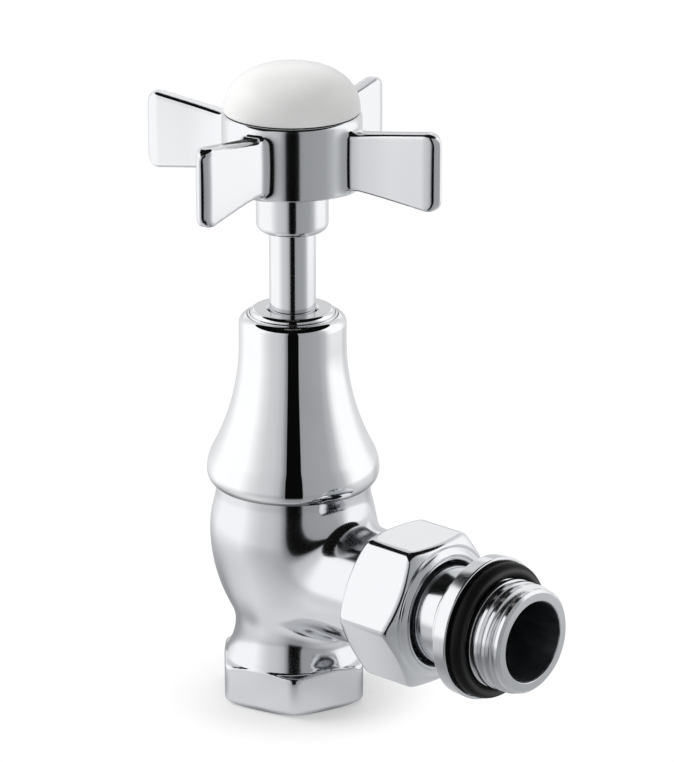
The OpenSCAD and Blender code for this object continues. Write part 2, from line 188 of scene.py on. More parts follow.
def arc(centre, radius, start, end, steps=12):
    """Points of an arc in a profile, from one angle to another in degrees."""
    a = np.radians(np.linspace(start, end, steps + 1))
    return [(centre[0] + radius * math.cos(t), centre[1] + radius * math.sin(t)) for t in a]


def eased(corners, steps=6):
    """A profile through corners (r, z, ease), where ease is the fillet radius at that corner or left out."""
    points = []
    n = len(corners)
    for i, corner in enumerate(corners):
        here = np.array(corner[:2], float)
        ease = corner[2] if len(corner) > 2 else 0
        if not ease or i in (0, n - 1):
            points.append(tuple(here))
            continue
        before = np.array(corners[i - 1][:2], float) - here
        after = np.array(corners[i + 1][:2], float) - here
        reach = min(np.linalg.norm(before), np.linalg.norm(after)) * 0.49
        before /= np.linalg.norm(before)
        after /= np.linalg.norm(after)
        half = math.acos(np.clip(before @ after, -1, 1)) / 2
        cut = min(ease / math.tan(half), reach)
        radius = cut * math.tan(half)
        centre = here + (before + after) / np.linalg.norm(before + after) * radius / math.sin(half)
        first, last = here + before * cut - centre, here + after * cut - centre
        swing = math.atan2(first[0] * last[1] - first[1] * last[0], first @ last)
        for t in np.linspace(0, swing, steps + 1):
            c, s = math.cos(t), math.sin(t)
            points.append((centre[0] + first[0] * c - first[1] * s, centre[1] + first[0] * s + first[1] * c))
    return points


def upright(r, angle, along):
    """Places ring points about the spindle axis."""
    return np.stack([r * np.cos(angle), r * np.sin(angle), np.broadcast_to(along, r.shape)], -1)


def sideways(height):
    """Places ring points about the outlet axis, which lies at that height."""
    def place(r, angle, along):
        return np.stack([np.broadcast_to(along, r.shape), r * np.sin(angle), height + r * np.cos(angle)], -1)
    return place


def area_normals(points, faces):
    """Normals at the points, in which large faces outweigh the small ones of an eased edge."""
    total = np.zeros_like(points)
    for size in (3, 4):
        group = np.array([f for f in faces if len(f) == size])
        if len(group):
            if size == 4:
                n = np.cross(points[group[:, 2]] - points[group[:, 0]], points[group[:, 3]] - points[group[:, 1]])
            else:
                n = np.cross(points[group[:, 1]] - points[group[:, 0]], points[group[:, 2]] - points[group[:, 0]])
            for k in range(size):
                np.add.at(total, group[:, k], n)
    return total / np.maximum(np.linalg.norm(total, axis=1), 1e-12)[:, None]


def add_piece(name, points, faces, normals=None):
    """A smooth mesh object from points in millimetres; its faces are turned outwards first."""
    points = np.asarray(points, float)
    volume = 0.0
    for size in (3, 4):
        group = np.array([f for f in faces if len(f) == size])
        if len(group):
            for a, b, c in ((0, 1, 2),) if size == 3 else ((0, 1, 2), (0, 2, 3)):
                volume += np.einsum("ij,ij->", points[group[:, a]],
                                    np.cross(points[group[:, b]], points[group[:, c]]))
    if volume < 0:
        faces = [f[::-1] for f in faces]
    if normals is None:
        normals = area_normals(points, faces)
    mesh = bpy.data.meshes.new(name)
    mesh.from_pydata((points * MM).tolist(), [], faces)
    mesh.polygons.foreach_set("use_smooth", [True] * len(mesh.polygons))
    mesh.validate()
    mesh.normals_split_custom_set_from_vertices(normals.tolist())
    piece = bpy.data.objects.new(name, mesh)
    bpy.context.scene.collection.objects.link(piece)
    return piece


def ring_faces(rings, loop=False):
    """Faces between neighbouring rings of points; a ring of one point is a pole."""
    starts = np.cumsum([0] + [len(r) for r in rings])
    pairs = list(zip(range(len(rings) - 1), range(1, len(rings))))
    if loop:
        pairs.append((len(rings) - 1, 0))
    faces = []
    for a, b in pairs:
        na, nb = len(rings[a]), len(rings[b])
        sa, sb = starts[a], starts[b]
        n = max(na, nb)
        k = np.arange(n)
        m = (k + 1) % n
        if na == nb and n > 1:
            faces += np.stack([sa + k, sa + m, sb + m, sb + k], 1).tolist()
        elif na == 1 and nb > 1:
            faces += np.stack([np.full(n, sa), sb + m, sb + k], 1).tolist()
        elif nb == 1 and na > 1:
            faces += np.stack([sa + k, sa + m, np.full(n, sb)], 1).tolist()
    return faces


def turn(name, profile, place=upright, segments=192, loop=False):
    """A turned piece from its profile of (radius, distance along the axis) in millimetres."""
    angle = np.linspace(0, 2 * math.pi, segments, endpoint=False)
    rings = []
    for r, along in profile:
        if r < 1e-6:
            rings.append(place(np.zeros(1), np.zeros(1), along))
        else:
            rings.append(place(np.full(segments, float(r)), angle, along))
    return add_piece(name, np.concatenate(rings), ring_faces(rings, loop))


def shape_rings(name, rows, angle, place, loop=False):
    """A piece from rows of (radii round the axis, distance along it)."""
    rings = [place(np.broadcast_to(np.asarray(r, float), angle.shape), angle, along) for r, along in rows]
    return add_piece(name, np.concatenate(rings), ring_faces(rings, loop))


# ---------------------------------------------------------------- soft unions of solids, and their skin

def soft_min(a, b, k):
    """The lower of two distances, eased where they differ by less than k."""
    h = np.maximum(k - np.abs(a - b), 0) / k
    return np.minimum(a, b) - h ** 3 * k / 6


def soft_max(a, b, k):
    return -soft_min(-a, -b, k)


def skin(name, field, low, high, step):
    """The surface where a field of distances is zero, as a net of quads whose points lie on it."""
    axes = [np.arange(l - 1.5 * step, h + 2.5 * step, step) for l, h in zip(low, high)]
    size = [len(a) for a in axes]
    value = field(*np.meshgrid(*axes, indexing="ij", sparse=True))
    value = np.broadcast_to(value, size)
    inside = value < 0
    origin = np.array([a[0] for a in axes])
    cells = [s - 1 for s in size]
    total = np.zeros(cells + [3])
    count = np.zeros(cells)
    crossing = []
    for axis in range(3):
        n = size[axis]
        head = [slice(None)] * 3
        tail = [slice(None)] * 3
        head[axis], tail[axis] = slice(0, n - 1), slice(1, n)
        change = inside[tuple(head)] != inside[tuple(tail)]
        where = np.argwhere(change)
        v0 = value[tuple(head)][change]
        v1 = value[tuple(tail)][change]
        spot = where.astype(float)
        spot[:, axis] += v0 / (v0 - v1)
        crossing.append((where, v0 < 0))
        others = [d for d in range(3) if d != axis]
        for da in (0, -1):
            for db in (0, -1):
                cell = where.copy()
                cell[:, others[0]] += da
                cell[:, others[1]] += db
                ok = np.all((cell >= 0) & (cell < cells), axis=1)
                c = tuple(cell[ok].T)
                np.add.at(total, c, spot[ok])
                np.add.at(count, c, 1)
    used = count > 0
    number = np.full(cells, -1)
    number[used] = np.arange(used.sum())
    points = origin + step * total[used] / count[used][:, None]
    faces = []
    for axis, (where, rising) in enumerate(crossing):
        a, b = [d for d in range(3) if d != axis]
        if axis == 1:
            a, b = b, a
        corners = []
        for da, db in ((0, 0), (-1, 0), (-1, -1), (0, -1)):
            cell = where.copy()
            cell[:, a] += da
            cell[:, b] += db
            corners.append(number[tuple(cell.T)])
        quad = np.stack(corners, 1)
        quad[~rising] = quad[~rising][:, ::-1]
        faces.append(quad)
    faces = np.concatenate(faces)
    for _ in range(4):
        slope, level = gradient(field, points)
        move = slope * (level / np.maximum((slope ** 2).sum(1), 0.05))[:, None]
        points = points - np.clip(move, -0.6 * step, 0.6 * step)
    slope, level = gradient(field, points)
    normals = slope / np.maximum(np.linalg.norm(slope, axis=1), 1e-9)[:, None]
    return add_piece(name, points, faces.tolist(), normals)


def gradient(field, points, d=0.02):
    """Slope of a field at points, and its value there."""
    slope = np.zeros_like(points)
    for axis in range(3):
        shift = np.zeros(3)
        shift[axis] = d
        slope[:, axis] = (field(*(points + shift).T) - field(*(points - shift).T)) / (2 * d)
    return slope, field(*points.T)


# ---------------------------------------------------------------- node trees

class Value:
    """A number in a node tree; arithmetic on it adds Math nodes."""

    def __init__(self, nodes, socket):
        self.nodes, self.socket = nodes, socket

    def math(self, operation, other=None, clamp=False):
        inputs = {0: self} if other is None else {0: self, 1: other}
        return self.nodes.add("ShaderNodeMath", {"operation": operation, "use_clamp": clamp}, inputs)

    def __add__(self, other): return self.math("ADD", other)
    def __sub__(self, other): return self.math("SUBTRACT", other)
    def __mul__(self, other): return self.math("MULTIPLY", other)
    def __truediv__(self, other): return self.math("DIVIDE", other)
    def __pow__(self, other): return self.math("POWER", other)
    def __gt__(self, other): return self.math("GREATER_THAN", other)
    def __lt__(self, other): return self.math("LESS_THAN", other)
    __radd__ = __add__
    __rmul__ = __mul__

    def __rsub__(self, other):
        return self.nodes.add("ShaderNodeMath", {"operation": "SUBTRACT"}, {0: other, 1: self})

    def __abs__(self): return self.math("ABSOLUTE")
    def clamped(self): return self.math("ADD", 0.0, clamp=True)


class Nodes:
    """Builds a node tree; one method adds any node."""

    def __init__(self, tree):
        self.tree = tree

    def add(self, kind, settings=None, inputs=None, output=0):
        """Adds a node, sets its settings, then its sockets' values or links, and gives one output as a Value."""
        node = self.tree.nodes.new(kind)
        for key, setting in (settings or {}).items():
            if key == "stops":
                ramp = node.color_ramp
                for k, (position, colour) in enumerate(setting):
                    stop = ramp.elements[k] if k < len(ramp.elements) else ramp.elements.new(position)
                    stop.position = position
                    stop.color = (*colour, 1) if hasattr(colour, "__len__") else (colour, colour, colour, 1)
            else:
                setattr(node, key, setting)
        for key, given in (inputs or {}).items():
            if isinstance(given, Value):
                self.tree.links.new(given.socket, node.inputs[key])
            else:
                node.inputs[key].default_value = given
        return Value(self, node.outputs[output] if len(node.outputs) else None)

    def ramp(self, value, low, high, to_low=0.0, to_high=1.0):
        """A soft step of a value from one level to another."""
        return self.add("ShaderNodeMapRange", {"interpolation_type": "SMOOTHSTEP"},
                        {0: value, 1: low, 2: high, 3: to_low, 4: to_high})

    def noise(self, scale, detail=2.0, roughness=0.5, stretch=(1, 1, 1)):
        """Noise in object space, scale being features per metre."""
        place = self.add("ShaderNodeTexCoord", output="Object")
        place = self.add("ShaderNodeMapping", {}, {"Vector": place, "Scale": stretch})
        return self.add("ShaderNodeTexNoise", {"noise_dimensions": "3D"},
                        {"Vector": place, "Scale": scale, "Detail": detail, "Roughness": roughness}, "Fac")

    def mix(self, factor, a, b):
        """Mixes two colours."""
        return self.add("ShaderNodeMix", {"data_type": "RGBA"}, {0: factor, 6: a, 7: b}, 2)

    def rays(self):
        """The kinds of ray that a shader can tell apart, by name."""
        path = self.add("ShaderNodeLightPath").socket.node
        return {out.name: Value(self, out) for out in path.outputs}

    def turned(self, vector, studio):
        """Parts of a direction or place, turned so that x points at the camera's side of the valve."""
        angle = -math.atan2(studio.camera_place[1], studio.camera_place[0])
        turned = self.add("ShaderNodeVectorRotate", {"rotation_type": "Z_AXIS"}, {"Vector": vector, "Angle": angle})
        split = self.add("ShaderNodeSeparateXYZ", {}, {0: turned}).socket.node
        return [Value(self, out) for out in split.outputs]

    def around(self, azimuth, tones):
        """Level by azimuth in degrees, from a list of (azimuth, level)."""
        share = azimuth * (1 / 360) + 0.5
        stops = [(a / 360 + 0.5, level) for a, level in tones]
        return self.add("ShaderNodeValToRGB", {"stops": stops}, {0: share})

    def cool(self, level):
        """White for a bright level, and slightly blue for a dim one."""
        return self.mix(level.clamped(), (0.93, 0.96, 1, 1), (1, 1, 1, 1))

    def bump(self, height, depth, strength=1.0):
        return self.add("ShaderNodeBump", {}, {"Height": height, "Distance": depth, "Strength": strength})


def finish(name, build):
    """A material whose look the build function gives as the sockets of its shader."""
    material = bpy.data.materials.new(name)
    material.use_nodes = True
    material.node_tree.nodes.clear()
    nodes = Nodes(material.node_tree)
    shader = nodes.add("ShaderNodeBsdfPrincipled", {}, build(nodes))
    nodes.add("ShaderNodeOutputMaterial", {}, {"Surface": shader})
    return material


def rgba(colour, gain=1.0):
    return (*[min(c * gain, 1.0) for c in colour], 1.0)


def chrome(nodes, roughness, wave, grain=0.0, dim=None):
    """Chrome plating: faint wipe marks in its polish, and the slow waviness of the metal under it; dim paints shade on
    it, mixing it towards near black.
    """
    colour = bpy.context.scene.valve_finish.chrome
    smear = nodes.noise(90, 3.0, 0.6)
    specks = nodes.noise(900, 2.0, 0.6)
    haze = nodes.ramp(smear, 0.45, 0.75)
    rough = roughness + haze * (0.5 * roughness) + specks * (0.3 * roughness)
    tint = nodes.mix(haze, rgba(colour), rgba(colour, 0.965))
    # dim is painted shade: where it is 1 the chrome's colour is near black.
    if dim:
        tint = nodes.mix(dim, tint, (0.1, 0.103, 0.106, 1))
    height = nodes.noise(260, 1.0, 0.4) * 1.0 + nodes.noise(1100, 1.0, 0.5) * grain
    return {"Base Color": tint, "Metallic": 1.0, "Roughness": rough, "Normal": nodes.bump(height, wave)}


def make_finishes():
    """All finishes, by the names of the record's material slots."""
    look = bpy.context.scene.valve_finish

    def turned_chrome(n):
        return chrome(n, look.chrome_roughness, 0.000002)

    def bell_chrome(n):
        place = n.add("ShaderNodeTexCoord", output="Object")
        height = Value(n, n.add("ShaderNodeSeparateXYZ", {}, {0: place}).socket.node.outputs[2])
        low = BELL_LOW[2] * MM
        # Painted shade under the bell's rim: the chrome darkens over the lowest 1.6 mm of the bell.
        return chrome(n, look.chrome_roughness, 0.000002, dim=n.ramp(height, low, low + 0.0016, 0.9, 0.0))

    def cast_chrome(n):
        return chrome(n, look.casting_roughness, 0.000009, 0.1)

    def handle_chrome(n):
        normal = n.add("ShaderNodeNewGeometry", output="Normal")
        up = Value(n, n.add("ShaderNodeSeparateXYZ", {}, {0: normal}).socket.node.outputs[2])
        # Painted shade under the arms and the hub: faces that look steeply down are darkened.
        return chrome(n, look.casting_roughness * 0.8, 0.000005, 0.1, n.ramp(up, -0.97, -0.75, 1.0, 0.0))

    def thread_chrome(n):
        grain = n.noise(700, 3.0, 0.65)
        return {"Base Color": n.mix(grain, rgba(look.chrome, 0.8), rgba(look.chrome)), "Metallic": 1.0,
                "Roughness": 0.2 + grain * 0.16, "Normal": n.bump(grain, 0.00002)}

    def ceramic(n):
        cloud = n.noise(120, 2.0)
        return {"Base Color": n.mix(cloud, rgba(look.ceramic, 0.985), rgba(look.ceramic)), "Roughness": 0.12,
                "Coat Weight": 0.6, "Coat Roughness": 0.04, "IOR": 1.5,
                "Normal": n.bump(n.noise(150, 1.0), 0.000006)}

    def rubber(n):
        grain = n.noise(2500, 3.0, 0.6)
        dust = n.ramp(n.noise(400, 4.0, 0.65), 0.56, 0.8)
        return {"Base Color": n.mix(dust, rgba(look.rubber), (0.025, 0.025, 0.026, 1)), "Specular IOR Level": 0.6,
                "Roughness": 0.28 + grain * 0.14, "Normal": n.bump(grain, 0.00001)}

    def rubber_ring(n):
        place = n.add("ShaderNodeTexCoord", output="Object")
        split = n.add("ShaderNodeSeparateXYZ", {}, {0: place}).socket.node
        y, z = Value(n, split.outputs[1]), Value(n, split.outputs[2]) - bpy.context.scene.valve_sizes.outlet_height
        low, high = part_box("tail_seal")
        section, rim = (high[0] - low[0]) / 2, high[1]
        inward = (rim - (y * y + z * z) ** 0.5) * (1 / section)
        # Coat only on a band round the middle of the ring's section: a painted highlight along the ring.
        painted_sheen = n.ramp(inward, 0.35, 0.85) * n.ramp(inward, 0.95, 1.35, 1.0, 0.0)
        grain = n.noise(2500, 3.0, 0.6)
        return {"Base Color": n.mix(grain, rgba(look.rubber), (0.006, 0.006, 0.006, 1)), "Specular IOR Level": 0.14,
                "Roughness": 0.4 + grain * 0.15, "Coat Weight": painted_sheen, "Coat Roughness": 0.32,
                "Normal": n.bump(grain, 0.000006)}

    def brass(n):
        rings = n.noise(600, 3.0, 0.6, (0.02, 0.02, 4.0))
        stain = n.ramp(n.noise(70, 3.0), 0.4, 0.75)
        return {"Base Color": n.mix(stain, rgba(look.brass), rgba(look.brass, 0.72)), "Metallic": 1.0,
                "Roughness": 0.2 + rings * 0.14 + stain * 0.1, "Normal": n.bump(rings, 0.00001)}

    def gland_chrome(n):
        normal = n.add("ShaderNodeNewGeometry", output="Normal")
        up = Value(n, n.add("ShaderNodeSeparateXYZ", {}, {0: normal}).socket.node.outputs[2])
        # Painted shade on the gland nut's flat top: faces that look straight up are darkened by up to 0.4.
        return chrome(n, look.chrome_roughness, 0.000002, dim=n.ramp(up, 0.97, 0.995, 0.0, 0.4))

    # Dark grainy metal, used for the tailpiece's bore and as painted shade in the union nut's recess.
    def bored(n):
        grain = n.noise(500, 4.0, 0.7, (0.25, 1, 1))
        return {"Base Color": n.mix(grain, (0.16, 0.185, 0.2, 1), (0.5, 0.53, 0.55, 1)), "Metallic": 1.0,
                "Roughness": 0.34 + grain * 0.2, "Normal": n.bump(grain, 0.00003)}

    def steel(n):
        grain = n.noise(900, 3.0)
        return {"Base Color": n.mix(grain, (0.5, 0.5, 0.51, 1), (0.66, 0.66, 0.67, 1)), "Metallic": 1.0,
                "Roughness": 0.26 + grain * 0.14, "Normal": n.bump(grain, 0.00001)}

    def fibre(n):
        strands = n.noise(1500, 5.0, 0.7)
        return {"Base Color": n.mix(strands, (0.2, 0.05, 0.03, 1), (0.42, 0.15, 0.09, 1)),
                "Roughness": 0.65 + strands * 0.2, "Normal": n.bump(strands, 0.00004)}

    def packing(n):
        strands = n.noise(1200, 3.0)
        return {"Base Color": n.mix(strands, (0.72, 0.71, 0.68, 1), (0.82, 0.81, 0.79, 1)),
                "Roughness": 0.5 + strands * 0.2, "Normal": n.bump(strands, 0.00003)}

    return {
        "chrome": finish("chrome", turned_chrome), "chrome_bell": finish("chrome_bell", bell_chrome),
        "chrome_cast": finish("chrome_cast", cast_chrome),
        "chrome_handle": finish("chrome_handle", handle_chrome),
        "chrome_thread": finish("chrome_thread", thread_chrome), "ceramic": finish("ceramic", ceramic),
        "rubber": finish("rubber", rubber), "brass": finish("brass", brass), "steel": finish("steel", steel),
        "bored": finish("bored", bored), "chrome_gland": finish("chrome_gland", gland_chrome),
        "rubber_ring": finish("rubber_ring", rubber_ring), "fibre": finish("fibre", fibre), "packing": finish("packing", packing),
    }


def finish_of(slot):
    """The finish of a material slot, made on its first use."""
    if slot not in bpy.data.materials:
        make_finishes()
    return bpy.data.materials[slot]


def dress(piece, slot, body, *nodes, look=None):
    """Gives a piece its finish, which is its slot's unless look names another, and its place in the frame."""
    if not piece.data.materials:
        piece.data.materials.append(finish_of(look or slot))
    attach(piece, body)
    if nodes:
        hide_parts(*nodes)
    return piece


# ---------------------------------------------------------------- threads, as Geometry Nodes

def thread_tree():
    """A closed threaded sleeve about the outlet or spindle axis, drawn from a grid."""
    if "Thread" in bpy.data.node_groups:
        return bpy.data.node_groups["Thread"]
    tree = bpy.data.node_groups.new("Thread", "GeometryNodeTree")
    sizes = [("Start", 0.0), ("Length", 0.01), ("Crest", 0.01), ("Depth", 0.001), ("Pitch", 0.002),
             ("Back", 0.009), ("Fade", 0.001)]
    for label, default in sizes:
        socket = tree.interface.new_socket(label, in_out="INPUT", socket_type="NodeSocketFloat")
        socket.default_value = default
    for label, default in (("Rows", 120), ("Columns", 192)):
        socket = tree.interface.new_socket(label, in_out="INPUT", socket_type="NodeSocketInt")
        socket.default_value = default
    tree.interface.new_socket("Sideways", in_out="INPUT", socket_type="NodeSocketFloat")
    tree.interface.new_socket("Height", in_out="INPUT", socket_type="NodeSocketFloat")
    tree.interface.new_socket("Material", in_out="INPUT", socket_type="NodeSocketMaterial")
    tree.interface.new_socket("Geometry", in_out="OUTPUT", socket_type="NodeSocketGeometry")
    n = Nodes(tree)
    given = tree.nodes.new("NodeGroupInput")
    size = {s.name: Value(n, s) for s in given.outputs if s.name}
    grid = n.add("GeometryNodeMeshGrid", {}, {"Size X": 1.0, "Size Y": 1.0, "Vertices X": size["Rows"],
                                              "Vertices Y": size["Columns"]})
    place = n.add("GeometryNodeInputPosition")
    split = n.add("ShaderNodeSeparateXYZ", {}, {0: place})
    u = split + 0.5
    v = Value(n, split.socket.node.outputs[1]) + 0.5
    rows = size["Rows"] - 1.0
    row = u * rows
    first = row < 0.5
    last = row > rows - 0.5
    behind = (first + last + (row > rows - 1.5)).clamped()
    share = ((row - 1.0) / (rows - 3.0)).clamped()
    along = share * size["Length"] * (1.0 - last)
    turn_share = along / size["Pitch"] - v
    tooth = abs(turn_share.math("FRACT") * 2.0 - 1.0)
    tooth = ((tooth - 0.42) * 2.2).clamped()
    fade_in = (along / size["Fade"]).clamped()
    fade_out = ((size["Length"] - along) / size["Fade"]).clamped()
    fade = fade_in * fade_out
    radius = size["Crest"] - size["Depth"] * (1.0 - (1.0 - tooth) * fade)
    radius = radius * (1.0 - behind) + size["Back"] * behind
    angle = v * (2 * math.pi)
    across, up = radius * angle.math("SINE"), radius * angle.math("COSINE")
    along = along + size["Start"]
    side = size["Sideways"]
    x = along * side + up * (1.0 - side)
    z = (size["Height"] + up) * side + along * (1.0 - side)
    spot = n.add("ShaderNodeCombineXYZ", {}, {0: x, 1: across, 2: z})
    moved = n.add("GeometryNodeSetPosition", {}, {"Geometry": grid, "Position": spot})
    joined = n.add("GeometryNodeMergeByDistance", {}, {"Geometry": moved, "Distance": 2e-6})
    smooth = n.add("GeometryNodeSetShadeSmooth", {}, {"Geometry": joined})
    real = n.add("GeometryNodeRealizeInstances", {}, {"Geometry": smooth})
    painted = n.add("GeometryNodeSetMaterial", {}, {"Geometry": real, "Material": size["Material"]})
    out = tree.nodes.new("NodeGroupOutput")
    tree.links.new(painted.socket, out.inputs[0])
    return tree


def thread(name, slot, sizes):
    """A plain mesh of a threaded sleeve; sizes are the tree's inputs by name."""
    tree = thread_tree()
    piece = bpy.data.objects.new(name, bpy.data.meshes.new(name))
    bpy.context.scene.collection.objects.link(piece)
    modifier = piece.modifiers.new("thread", "NODES")
    modifier.node_group = tree
    sizes = {**sizes, "Material": finish_of(slot)}
    for item in tree.interface.items_tree:
        if item.in_out == "INPUT" and item.name in sizes:
            modifier[item.identifier] = sizes[item.name]
    bpy.context.view_layer.update()
    shown = piece.evaluated_get(bpy.context.evaluated_depsgraph_get())
    mesh = bpy.data.meshes.new_from_object(shown)
    piece.modifiers.clear()
    points = np.zeros(len(mesh.vertices) * 3)
    mesh.vertices.foreach_get("co", points)
    faces = [list(p.vertices) for p in mesh.polygons]
    bpy.data.objects.remove(piece)
    bpy.data.meshes.remove(mesh)
    made = add_piece(name, points.reshape(-1, 3) / MM, faces)
    made.data.materials.append(finish_of(slot))
    return made


# ---------------------------------------------------------------- the valve's pieces

def table(points, soft=0.0):
    """A lookup from height to radius, with its slope, from a profile whose heights rise; soft evens out its bends."""
    z = np.array([p[1] for p in points])
    r = np.array([p[0] for p in points])
    fine = np.linspace(z[0], z[-1], 4000)
    radius = np.interp(fine, z, r)
    span = int(soft / (fine[1] - fine[0]))
    if span:
        window = np.hanning(2 * span + 3)
        radius = np.convolve(np.pad(radius, span + 1, "edge"), window / window.sum(), "valid")
    slope = np.gradient(radius, fine)
    return lambda h: (np.interp(h, fine, radius), 1 / np.sqrt(1 + np.interp(h, fine, slope) ** 2))


def hexagon_distance(x, y, width, turned_by, ease):
    """Distance to a hexagon with eased corners, whose corners stand at turned_by and every 60 degrees."""
    angle = np.arctan2(y, x) - turned_by - math.pi / 6
    angle = (angle + math.pi / 6) % (math.pi / 3) - math.pi / 6
    r = np.hypot(x, y)
    reach = width / 2 - ease
    u = r * np.cos(angle) - reach
    v = np.abs(r * np.sin(angle)) - reach * math.tan(math.pi / 6)
    return np.where(v > 0, np.hypot(np.maximum(u, 0), v), u) - ease


class VALVE_OT_body(bpy.types.Operator):
    """Makes the body casting with its inlet pipe thread"""
    bl_idname = "angle_valve.body"
    bl_label = "Body casting"

    def execute(self, context):
        size = context.scene.valve_sizes
        foot, foot_h = size.foot_width / MM, size.foot_height / MM
        bulb, waist, axis = size.bulb_radius / MM, size.waist_radius / MM, size.outlet_height / MM
        neck, blend, turned_by = size.branch_radius / MM, size.branch_blend / MM, size.foot_turn
        bulb_z, shoulder_z, sweep, low_sweep, up_sweep, skirt = 34.3, 40.2, 7.0, 33.0, 20.0, 11.5
        waist_z = bulb_z - math.sqrt((sweep + low_sweep) ** 2 - (waist + sweep - bulb + low_sweep) ** 2)
        join = math.degrees(math.acos((waist + sweep - bulb + low_sweep) / (sweep + low_sweep)))
        ledge = foot_h - 1.9
        start = math.degrees(math.asin((waist_z - ledge - 0.2) / skirt))
        top = BODY_HIGH[2]
        flank = table(
            [(foot / 2 - 0.1, ledge - 4), (foot / 2 - 0.1, ledge)]
            + arc((waist + skirt, waist_z), skirt, 180 + start, 181, 30)
            + arc((waist + sweep, waist_z), sweep, 180, 180 - join, 30)
            + arc((bulb - low_sweep, bulb_z), low_sweep, -join + 0.3, 0, 60)
            + arc((bulb - up_sweep, bulb_z), up_sweep, 1, math.degrees(math.asin((shoulder_z - bulb_z) / up_sweep)), 40)
            + [(15.0, shoulder_z + 1.4), (15.0, top + 1)], 1.6)
        way = table([(12.3, -1), (10.7, 0.75), (10.7, 11), (6, 13.2), (6, 20.5), (6.1, 21.9), (7.9, 22.0), (8.5, 20.6 + 1.6),
                     (12.4, 23.6), (13.3, 31), (13.3, 35), (12.6, 36.2), (12.6, top - 0.6), (13.4, top + 0.2), (13.4, top + 2)])
        end = 30.1

        def field(x, y, z):
            r = np.hypot(x, y)
            hexagon = hexagon_distance(x, y, foot, turned_by, 2.6)
            step = (z - ledge) * 0.985 + (r - foot / 2) * 0.17
            corner = (z - ledge) * 0.574 + (r - 14.6) * 0.819
            under = (r - 13.8) * 0.5 - z * 0.866
            block = soft_max(soft_max(hexagon, soft_max(step, corner, 0.3), 0.6), soft_max(-z, under, 0.8), 1.2)
            radius, lean = flank(z)
            bulge = soft_max((r - radius) * lean, np.maximum(z - top, 1.0 - z), 0.5)
            rho = np.hypot(y, z - axis)
            pipe = neck + 0.4 * np.clip((x - 25.9) / 0.6, 0, 1)
            branch = soft_max(rho - pipe, np.maximum(x - end, 3 - x), 0.6)
            solid = soft_min(soft_min(bulge, branch, blend), block, 1.0)
            hollow, lean = way(z)
            water = np.minimum((r - hollow) * lean, np.maximum(rho - 7, 8.4 - x))
            return soft_max(solid, -water, 0.25)

        low = (-17, -17, 0)
        high = (end, 17, top)
        piece = skin("body_casting", field, low, high, 0.4)
        dress(piece, "chrome_cast", "body", "valve_body")
        pitch = size.pipe_thread_pitch
        sleeve = thread("inlet_thread", "brass", {
            "Start": 0.0008, "Length": 0.0100, "Crest": 0.0093, "Depth": -0.00115, "Pitch": pitch, "Back": 0.0108,
            "Fade": 0.0010, "Rows": 170, "Columns": 160, "Sideways": 0.0, "Height": 0.0})
        dress(sleeve, "brass", "body")
        return {"FINISHED"}


class VALVE_OT_headwork(bpy.types.Operator):
    """Makes the bell cover, its ring nut and the gland nut"""
    bl_idname = "angle_valve.headwork"
    bl_label = "Headwork and bell"

    def execute(self, context):
        low, high = BELL_LOW[2], BELL_HIGH[2]
        bell, rim, wall = 10.35, BELL_HIGH[0], 1.2
        roll, rim_sweep, sweep = 3.0, 9.0, 45.7
        skirt_z = high - 5.2
        rim_z = skirt_z - math.sqrt((sweep + rim_sweep) ** 2 - (bell + sweep - rim + rim_sweep) ** 2)
        lean = math.degrees(math.asin((skirt_z - rim_z) / (sweep + rim_sweep)))

        def side(depth, start):
            return (arc((rim - roll, rim_z), roll - depth, -start, 0, 14)
                    + arc((rim - rim_sweep, rim_z), rim_sweep - depth, 1.5, lean - 1, 24)
                    + arc((bell + sweep, skirt_z), sweep + depth, 180 + lean - 1, 180, 48))

        mouth = 15.1
        outer = side(0, math.degrees(math.asin((rim_z - low) / roll)))
        inner = side(wall, math.degrees(math.acos((mouth - rim + roll) / (roll - wall))))
        high += 0.45
        lip_z = high - 1.7
        edge = 1.8
        profile = (outer + arc((bell - edge, high - edge), edge, 0, 82, 16)
                   + eased([(bell - 1.47, high - 0.02), (bell - 1.6, high - 0.06, 0.06), (bell - 1.6, lip_z), (7.9, lip_z),
                            (7.9, lip_z - 1.4), (bell - wall, lip_z - 1.4)], 4)
                   + inner[::-1] + [(mouth, low + 0.05), (mouth + 0.05, low)])
        dress(turn("bell", profile, segments=256, loop=True), "chrome", "body", "bell_cover", look="chrome_bell")

        bore, edge_r, roll_r = 7.25, bell - 1.65, 0.35
        ring = ([(bore, lip_z - 1.5), (7.85, lip_z - 1.5), (7.85, lip_z), (edge_r, lip_z)]
                + arc((edge_r - roll_r, high), roll_r, 0, 90, 10)
                + [(8.3, high + roll_r), (8.3, high - 0.9), (bore, high - 0.9)])
        dress(turn("bell_ring_nut", ring, segments=192, loop=True), "chrome", "body", "cover_ring_nut")

        g_low, g_high = box_mm("gland_nut")
        head, neck_top, cap, head_edge = 8.25, high - 0.8, high + 1.14, 1.05
        gland = ([(4.5, g_low[2]), (6.15, g_low[2]), (6.15, neck_top), (head, neck_top)]
                 + arc((head - head_edge, cap - head_edge), head_edge, 0, 90, 16)
                 + eased([(head - head_edge - 0.1, cap), (5.1, cap, 0.15), (4.75, cap - 0.3), (4.75, cap - 1.2),
                          (4.5, cap - 1.3)], 5))
        dress(turn("gland", gland, segments=160, loop=True), "chrome", "body", "gland_nut", look="chrome_gland")
        return {"FINISHED"}


